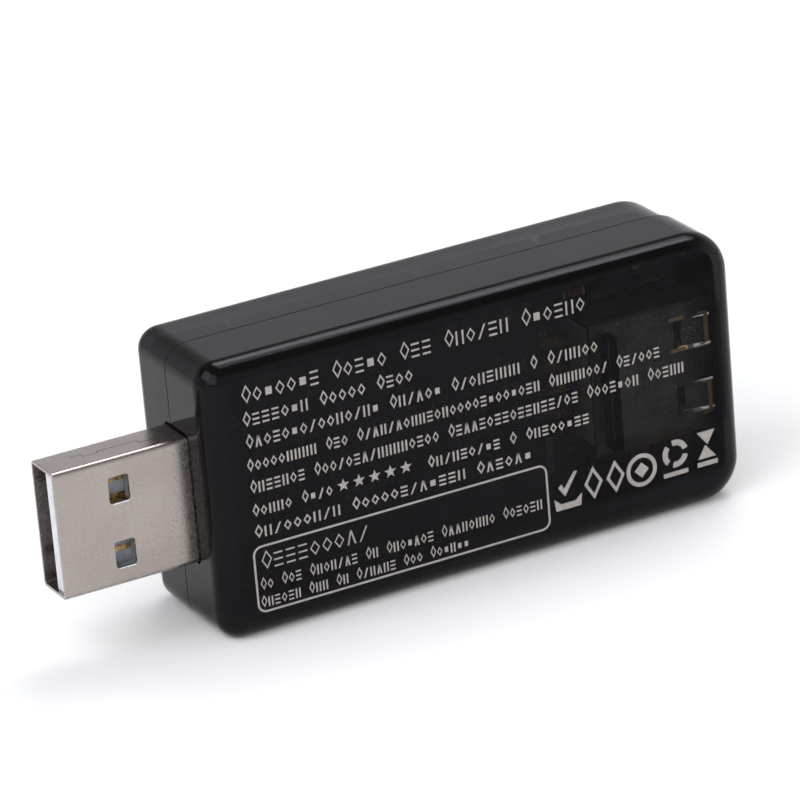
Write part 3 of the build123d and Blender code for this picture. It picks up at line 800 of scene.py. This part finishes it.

# Along the lower edge of each latch hole, on both broad faces, a thin strip of bright
# nickel is a painted highlight: the glint of the rounded edge catching the light from above.
plug_tall = 4.5 * mm
hole_corner = 0.3 * mm
glint_wide = 0.1 * mm
glint_rise = 0.012 * mm
glint_strips = bmesh.new()
for face, rise in ((plug_low.y, -glint_rise), (plug_low.y + plug_tall, glint_rise)):
    for side in (-1, 1):
        bottom = plug_z + side * hole_step / 2 - hole_wide / 2
        add_box(
            glint_strips,
            (hole_x - hole_long / 2 + hole_corner, min(face, face + rise), bottom - glint_wide),
            (hole_x + hole_long / 2 - hole_corner / 2, max(face, face + rise), bottom),
        )
# Painted highlight: nickel far brighter than the plug's, for the edge's glint.
nickel_painted_glint = plain_finish(
    "nickel_painted_glint", dark=(0.70, 0.68, 0.66), light=(0.86, 0.84, 0.82),
    patch=0.3 * mm, rough=(0.14, 0.26), grain=0.05 * mm, depth=1e-6, metallic=1.0,
)
finished_piece("latch_hole_edges", glint_strips, nickel_painted_glint)

# ---------------------------------------------------------------- socket
# A nickel-plated brass shell with four springs cut from its wide sides. Thin bright
# brass-coloured strips along the springs' slots are painted highlight: the glint of
# their bends and the light through the slots, tinted by the cover. Two dull brown strips,
# at the mouth and low on the side, are painted light leaking in through the gaps.


def socket_finish():
    """Nickel plate, darker and greyer than the plug's."""
    return plain_finish(
        "socket_shell_metal", dark=(0.17, 0.165, 0.155), light=(0.25, 0.24, 0.225),
        patch=1.6 * mm, rough=(0.26, 0.42), grain=0.07 * mm, depth=2e-6, metallic=1.0,
    )


def slot_glint_finish():
    """Painted highlight in a bright brass colour, rough."""
    return plain_finish(
        "painted_slot_glint", dark=(0.85, 0.52, 0.20), light=(1.0, 0.70, 0.34),
        patch=0.5 * mm, rough=(0.4, 0.6), grain=0.04 * mm, depth=3e-6,
    )


paint(socket_finish(), "socket_shell")

shell_face = socket_low.y + 0.6 * mm
socket_z = (socket_low.z + socket_high.z) / 2
root_x = socket_high.x - 1.0 * mm
root_wide = 0.44 * mm
slot_half = 0.09 * mm
lip_half = 0.17 * mm
edge_thick = 0.05 * mm
slot_glints = bmesh.new()


def add_slot_glint(west, east, bottom, top):
    """A thin strip of painted highlight on the shell's side that faces the rear cover."""
    add_box(slot_glints, (west, shell_face - edge_thick, bottom), (east, shell_face, top))


for side in (-1, 1):
    z = socket_z + side * 3.4 * mm
    half_tall = 1.52 * mm
    add_slot_glint(root_x - root_wide, root_x, z - half_tall, z + half_tall)
    for end in (-1, 1):
        level = z + end * half_tall
        add_slot_glint(root_x - 1.0 * mm, root_x - root_wide, level - slot_half, level + slot_half)
        if side == 1:
            add_slot_glint(root_x - 4.1 * mm, root_x - 2.5 * mm, level - lip_half, level + lip_half)
soften(slot_glints, 0.02 * mm, 1)
finished_piece("socket_slot_glints", slot_glints, slot_glint_finish())

# Painted light: one strip by the mouth and one low on the side, for light leaking in through the gaps.
leak_light_strips = bmesh.new()
leak_x = socket_high.x - 0.45 * mm
add_box(
    leak_light_strips,
    (leak_x - 0.5 * mm, socket_low.y - 0.06 * mm, socket_low.z + 0.9 * mm),
    (leak_x, socket_low.y, socket_high.z - 0.9 * mm),
)
add_box(
    leak_light_strips,
    (socket_low.x + 2.8 * mm, shell_face - edge_thick, socket_low.z + 0.65 * mm),
    (socket_high.x - 3.4 * mm, shell_face, socket_low.z + 1.25 * mm),
)
soften(leak_light_strips, 0.02 * mm, 1)
# Painted light: a dull brown, the colour of the leaking light through the smoked cover.
leak_light_brown = plain_finish(
    "leak_light_brown", dark=(0.16, 0.11, 0.06), light=(0.26, 0.18, 0.10),
    patch=0.6 * mm, rough=(0.4, 0.6), grain=0.05 * mm, depth=3e-6, metallic=1.0,
)
finished_piece("socket_leak_light", leak_light_strips, leak_light_brown)

# ---------------------------------------------------------------- covers
# Two shells of smoked, nearly black clear plastic, moulded with a hard gloss
# and pressed together on pins. A fine dark line shows where they meet. The
# gloss has a faint wave from the mould and holds a little dust.

cover_low, cover_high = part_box("rear_cover")
cover_centre = (cover_low + cover_high) / 2
seam_y = 0.3 * mm
seam_half = 0.09 * mm


def value_of(finish, operation, first, second=0.0):
    """One arithmetic step on a material's values."""
    step = node_in(finish, "Math", Value=first)
    step.operation = operation
    if isinstance(second, bpy.types.NodeSocket):
        finish.node_tree.links.new(second, step.inputs[1])
    else:
        step.inputs[1].default_value = second
    return step.outputs[0]


def smoked_finish():
    """Clear over the hollow only. At the walls the light has far more plastic to cross."""
    finish = bpy.data.materials.new("smoked_plastic")
    finish.use_nodes = True
    shader = shader_of(finish)
    shader.inputs["IOR"].default_value = 1.38
    shader.inputs["Specular IOR Level"].default_value = 0.235
    # Painted reflection: the reflections are tinted a little violet.
    shader.inputs["Specular Tint"].default_value = (0.88, 0.86, 1.0, 1)
    facing = node_in(finish, "SeparateXYZ", Vector=node_in(finish, "TexCoord").outputs["Normal"])
    square = value_of(finish, "MULTIPLY", facing.outputs["Y"], facing.outputs["Y"])
    turned_away = node_in(finish, "MapRange", Value=square, From_Min=0.98, From_Max=0.55).outputs[0]
    place = node_in(finish, "SeparateXYZ", Vector=place_in(finish))
    thick = turned_away
    hollow = (("X", cover_centre.x, 25.0 * mm), ("Z", cover_centre.z + 0.9 * mm, 10.7 * mm))
    for axis, centre, reach in hollow:
        away = value_of(finish, "ABSOLUTE", value_of(finish, "SUBTRACT", place.outputs[axis], centre))
        near_wall = node_in(
            finish, "MapRange", Value=away, From_Min=reach - 0.6 * mm, From_Max=reach + 0.4 * mm
        ).outputs[0]
        thick = value_of(finish, "MAXIMUM", thick, near_wall)
    over_socket = node_in(
        finish, "MapRange", Value=place.outputs["X"],
        From_Min=12 * mm, From_Max=18 * mm, To_Min=0.78, To_Max=0.50,
    )
    solid = node_in(finish, "MapRange", Value=thick, To_Min=over_socket.outputs[0], To_Max=0.95)
    drive(finish, "Alpha", solid.outputs[0])
    drift = patches(finish, 9 * mm, 0, 1)
    smoke = tone(finish, drift, (0.0014, 0.0013, 0.0012), (0.0024, 0.0021, 0.0018))
    dust = specks(finish, 1.7 * mm, 0.028)
    dusty = overlay(finish, dust, smoke, (0.16, 0.16, 0.15))
    apart = value_of(finish, "ABSOLUTE", value_of(finish, "SUBTRACT", place.outputs["Y"], seam_y))
    seam = node_in(
        finish, "MapRange", Value=apart, From_Min=seam_half, From_Max=seam_half * 0.3
    ).outputs[0]
    drive(finish, "Base Color", overlay(finish, seam, dusty, (0.0008, 0.0008, 0.0008)))
    gloss = patches(finish, 0.6 * mm, 0.09, 0.13)
    drive(finish, "Roughness", value_of(finish, "ADD", gloss, seam))
    groove = value_of(finish, "MULTIPLY", seam, -1.0)
    wave = relief(finish, patches(finish, 7 * mm, 0, 1, detail=1.0), 1.5e-5)
    grain = relief(finish, patches(finish, 0.18 * mm, 0, 1), 4e-7, wave)
    drive(finish, "Normal", relief(finish, groove, 6e-5, grain))
    return finish


paint(smoked_finish(), "rear_cover", "front_cover")

# ---------------------------------------------------------------- print on the rear cover
# Pale screen print on the broad rear face: seven rows of plain diamonds,
# bars, slopes and blocks, five stars, a framed block of three more rows, and
# a row of plain shapes. The ink is pressed through a mesh and dries raised.

print_face = cover_low.y
ink_depth = 0.012 * mm
stroke = 0.18 * mm
whole_print = bmesh.new()
wet = bmesh.new()
chooser = random.Random(11)


def lay_down():
    """Adds the signs made so far to the whole print, and starts the next ones on an empty shape."""
    sheet = bpy.data.meshes.new("wet_ink")
    wet.to_mesh(sheet)
    whole_print.from_mesh(sheet)
    wet.clear()
    bpy.data.meshes.remove(sheet)


def ink_box(west, east, bottom, top):
    """A flat box of ink on the rear face."""
    add_box(wet, (west, print_face - ink_depth, bottom), (east, print_face, top))


def ink_flat(points, x, z):
    """Turns flat points round the origin into a thin plate of ink centred on x, z."""
    made = [wet.verts.new((x + across, print_face, z + up)) for across, up in points]
    face = wet.faces.new(made)
    pushed = bmesh.ops.extrude_face_region(wet, geom=[face])["geom"]
    raised = [item for item in pushed if isinstance(item, bmesh.types.BMVert)]
    bmesh.ops.translate(wet, verts=raised, vec=(0, -ink_depth, 0))


def ink_ring(x, z, outer, inner, start=0, stop=360, segments=36, squeeze=1.0):
    """A ring of ink, or part of one, between two angles in degrees. squeeze narrows it."""
    turns = [math.radians(start + (stop - start) * step / segments) for step in range(segments + 1)]
    for first, second in zip(turns, turns[1:]):
        ink_flat(
            [
                (outer * math.cos(first) * squeeze, outer * math.sin(first)),
                (outer * math.cos(second) * squeeze, outer * math.sin(second)),
                (inner * math.cos(second) * squeeze, inner * math.sin(second)),
                (inner * math.cos(first) * squeeze, inner * math.sin(first)),
            ],
            x,
            z,
        )


def ink_sign(kind, west, wide, base, tall, line):
    """One plain sign of the print, standing on its base line."""
    east = west + wide
    middle = (west + east) / 2
    half = tall * 0.38
    if kind == "diamond":
        ink_ring(middle, base + half, half, half - line * 1.2, segments=4, squeeze=wide / (1.8 * half))
    elif kind == "tall_diamond":
        ink_ring(
            middle, base + tall / 2, tall / 2, tall / 2 - line * 1.5, segments=4, squeeze=wide / tall
        )
    elif kind == "pair":
        ink_box(west, west + line, base, base + 2 * half)
        ink_box(east - line, east, base, base + 2 * half)
    elif kind == "stack":
        for level in (base, base + half - line / 2, base + 2 * half - line):
            ink_box(west, east, level, level + line)
    elif kind == "slope":
        ink_flat(
            [(-wide / 2, 0), (line - wide / 2, 0), (wide / 2, 2 * half), (wide / 2 - line, 2 * half)],
            middle,
            base,
        )
    elif kind == "block":
        ink_box(west + line / 2, east - line / 2, base + half * 0.45, base + half * 1.55)
    elif kind == "peak":
        for left, right in ((-wide / 2, line - wide / 2), (wide / 2 - line, wide / 2)):
            ink_flat(
                [(left, 0), (right, 0), (line / 2, 2 * half), (-line / 2, 2 * half)],
                middle,
                base,
            )


sign_kinds = (
    "diamond", "pair", "stack", "diamond", "slope", "peak", "pair", "diamond", "block", "stack",
)


def ink_row(west, east, base, tall, words, line=stroke):
    """A row of words of plain signs, evenly spread between two ends. Its places are in millimetres."""
    places = sum(words) + len(words) - 1
    pitch = (east - west) / (places - 0.25) * mm
    x = west * mm
    for length in words:
        for letter in range(length):
            kind = "tall_diamond" if letter == 0 else chooser.choice(sign_kinds)
            wide = pitch * (0.84 if letter == 0 else 0.72)
            ink_sign(kind, x, wide, base * mm, tall * mm, line)
            x += pitch
        x += pitch
    lay_down()


# Each row in millimetres: its west and east end, its base line and its height,
# and then how many signs each of its words has.
print_rows = (
    (-16.6, 17.8, 22.25, 1.75, (7, 5, 3, 6, 6)),
    (-16.7, 0.1, 20.1, 1.45, (7, 5, 4)),
    (-16.6, 18.8, 18.0, 1.4, (15, 6, 8, 1, 6)),
    (-16.7, 25.1, 15.85, 1.3, (9, 3, 24, 8, 6)),
    (-16.6, 27.5, 13.75, 1.35, (7, 16, 17, 7, 5)),
    (-16.6, -8.7, 11.55, 1.25, (5, 4)),
    (0.9, 17.4, 11.45, 1.25, (9, 1, 8)),
    (-16.6, 11.3, 9.5, 1.3, (9, 12, 6)),
)
for west, east, base, tall, words in print_rows:
    ink_row(west, east, base, tall, words)

notice_rows = (
    (-16.2, -5.6, 6.4, 1.8, (9,)),
    (-16.5, 12.0, 4.5, 1.25, (2, 3, 7, 2, 7, 8, 6)),
    (-16.6, 4.3, 2.85, 1.2, (6, 3, 2, 6, 3, 6)),
)
for west, east, base, tall, words in notice_rows:
    ink_row(west, east, base, tall, words, stroke * 0.85)

# A row of five stars, each with five points.
star_count = 5
star_points = 5
star_size = 0.62 * mm
star_waist = 0.42
star = []
for turn in range(2 * star_points):
    out = star_size if turn % 2 == 0 else star_size * star_waist
    angle = math.pi * turn / star_points
    star.append((out * math.sin(angle), out * math.cos(angle)))
for number in range(star_count):
    ink_flat(star, (-7.6 + 1.57 * number) * mm, 12.2 * mm)

# The frame round the last three rows: four lines and four rounded corners.
frame_west, frame_east = -17.0 * mm, 12.75 * mm
frame_bottom, frame_top = 2.35 * mm, 8.75 * mm
frame_corner = 0.9 * mm
frame_line = 0.2 * mm
ink_box(frame_west + frame_corner, frame_east - frame_corner, frame_bottom, frame_bottom + frame_line)
ink_box(frame_west + frame_corner, frame_east - frame_corner, frame_top - frame_line, frame_top)
ink_box(frame_west, frame_west + frame_line, frame_bottom + frame_corner, frame_top - frame_corner)
ink_box(frame_east - frame_line, frame_east, frame_bottom + frame_corner, frame_top - frame_corner)
for x, z, start in (
    (frame_east - frame_corner, frame_top - frame_corner, 0),
    (frame_west + frame_corner, frame_top - frame_corner, 90),
    (frame_west + frame_corner, frame_bottom + frame_corner, 180),
    (frame_east - frame_corner, frame_bottom + frame_corner, 270),
):
    ink_ring(x, z, frame_corner, frame_corner - frame_line, start, start + 90, 8)

# The row of plain shapes: a tick over a dish, two tall diamonds, a ring round
# a diamond, a broken ring over a bar, and two triangles over a bar.
tick = ((-0.95, 0.1), (-0.6, 0.42), (-0.35, -0.1), (0.75, 1.35), (1.1, 1.3), (-0.3, -0.85))
dish = ((-1.45, 0.6), (-0.75, 0.0), (0.75, 0.0), (1.45, 0.6), (1.3, -0.6), (-1.3, -0.6))
upper_half = ((-0.95, 1.35), (0.95, 1.35), (0.12, 0))
lower_half = ((-0.95, -1.3), (0.95, -1.3), (-0.12, 0))
outlines = (
    (tick, 14.7, 5.9),
    (dish, 14.7, 4.4),
    (upper_half, 29.35, 6.1),
    (lower_half, 29.35, 6.1),
)
for outline, x, z in outlines:
    ink_flat([(across * mm, up * mm) for across, up in outline], x * mm, z * mm)
for x in (17.4, 19.7):
    ink_ring(x * mm, 5.58 * mm, 1.6 * mm, 1.05 * mm, segments=4, squeeze=0.6)
ink_ring(22.45 * mm, 5.45 * mm, 1.6 * mm, 1.2 * mm)
ink_flat([(0.75 * mm, 0), (0, 0.75 * mm), (-0.75 * mm, 0), (0, -0.75 * mm)], 22.45 * mm, 5.45 * mm)
for start in (15, 135, 255):
    ink_ring(26.05 * mm, 6.1 * mm, 1.35 * mm, 0.8 * mm, start, start + 90, 10)
ink_box(24.7 * mm, 27.3 * mm, 3.95 * mm, 4.38 * mm)
ink_box(28.3 * mm, 30.45 * mm, 4.05 * mm, 4.5 * mm)


def ink_finish():
    """Pale warm grey ink, a little thin in places."""
    return plain_finish(
        "print_ink", dark=(0.28, 0.252, 0.234), light=(0.35, 0.318, 0.297),
        patch=0.5 * mm, rough=(0.45, 0.6), grain=0.05 * mm, depth=2e-6,
    )


lay_down()
wet.free()
finished_piece("back_print", whole_print, ink_finish())

# ---------------------------------------------------------------- floor
# A plain pale sheet of paper, large enough that its edge isn't seen. The
# meter stands on it on one long edge.

floor_shape = bmesh.new()
bmesh.ops.create_grid(floor_shape, x_segments=1, y_segments=1, size=2.5)
floor_mesh = bpy.data.meshes.new("floor")
floor_shape.to_mesh(floor_mesh)
floor_shape.free()
floor_mesh.materials.append(
    plain_finish(
        "floor_paper", dark=(0.92, 0.92, 0.915), light=(0.94, 0.94, 0.935),
        patch=0.4, rough=(0.7, 0.8), grain=0.002, depth=5e-6,
    )
)
floor = bpy.data.objects.new("floor", floor_mesh)
bpy.context.scene.collection.objects.link(floor)

# ---------------------------------------------------------------- light and camera
# Soft studio light: a pale room, a soft box overhead with a brighter core,
# which draws a line along the upper edge, a cool one on the plug's side and a
# broad one beside the camera, which looks past the plug at the printed face.

world = bpy.data.worlds.new("studio")
world.use_nodes = True
room = world.node_tree.nodes["Background"]
direction = world.node_tree.nodes.new("ShaderNodeTexCoord")
height = world.node_tree.nodes.new("ShaderNodeSeparateXYZ")
fade = world.node_tree.nodes.new("ShaderNodeMapRange")
for name, value in (("From Min", 0.40), ("From Max", 0.62), ("To Min", 0.92), ("To Max", 0.34)):
    fade.inputs[name].default_value = value
world.node_tree.links.new(direction.outputs["Generated"], height.inputs[0])
world.node_tree.links.new(height.outputs["Z"], fade.inputs["Value"])
world.node_tree.links.new(fade.outputs[0], room.inputs["Strength"])
room.inputs["Color"].default_value = (0.95, 0.96, 1.0, 1)
bpy.context.scene.world = world

middle = (cad_box[0] + cad_box[1]) / 2


def add_light(name, direction, distance, size_x, size_y, power, colour=(1, 1, 1)):
    """A soft box that stands off the object in a direction and faces it."""
    lamp = bpy.data.lights.new(name, "AREA")
    lamp.shape = "RECTANGLE"
    lamp.size = size_x
    lamp.size_y = size_y
    lamp.energy = power
    lamp.color = colour
    light = bpy.data.objects.new(name, lamp)
    out = Vector(direction).normalized()
    light.location = middle + out * distance
    light.rotation_euler = out.to_track_quat("Z", "Y").to_euler()
    bpy.context.scene.collection.objects.link(light)


overhead = (0.413, 0.22, 0.885)
cool = (0.95, 0.96, 1.0)
add_light("overhead", overhead, distance=0.62, size_x=0.40, size_y=0.28, power=1.0)
add_light("overhead_core", overhead, distance=0.60, size_x=0.40, size_y=0.09, power=0.5)
add_light("plug_side", (-0.8, -0.15, 0.9), distance=0.9, size_x=0.6, size_y=0.6, power=3.4, colour=cool)
add_light("camera_side", (-0.5, -0.72, 0.6), distance=1.2, size_x=1.0, size_y=1.0, power=6.3)

# The camera stands off its aim by the reach, and it is rolled a little.
aim = Vector((0.81, -2.81, 16.69)) * mm
reach = 502 * mm
azimuth = math.radians(-26.50)
elevation = math.radians(22.17)
roll = math.radians(4.96)
back = Vector((
    math.sin(azimuth) * math.cos(elevation), -math.cos(azimuth) * math.cos(elevation), math.sin(elevation)
))
level_right = Vector((math.cos(azimuth), math.sin(azimuth), 0))
level_up = back.cross(level_right)
right = level_right * math.cos(roll) - level_up * math.sin(roll)
up = back.cross(right)
camera_data = bpy.data.cameras.new("camera")
camera_data.sensor_width = 36
camera_data.lens = 253.95
camera_data.clip_start = 10 * mm
camera_data.clip_end = 10
camera = bpy.data.objects.new("camera", camera_data)
turned = Matrix((right, up, back)).transposed().to_4x4()
camera.matrix_world = Matrix.Translation(aim + back * reach) @ turned
bpy.context.scene.collection.objects.link(camera)
bpy.context.scene.camera = camera
bpy.context.scene.view_settings.view_transform = "Standard"
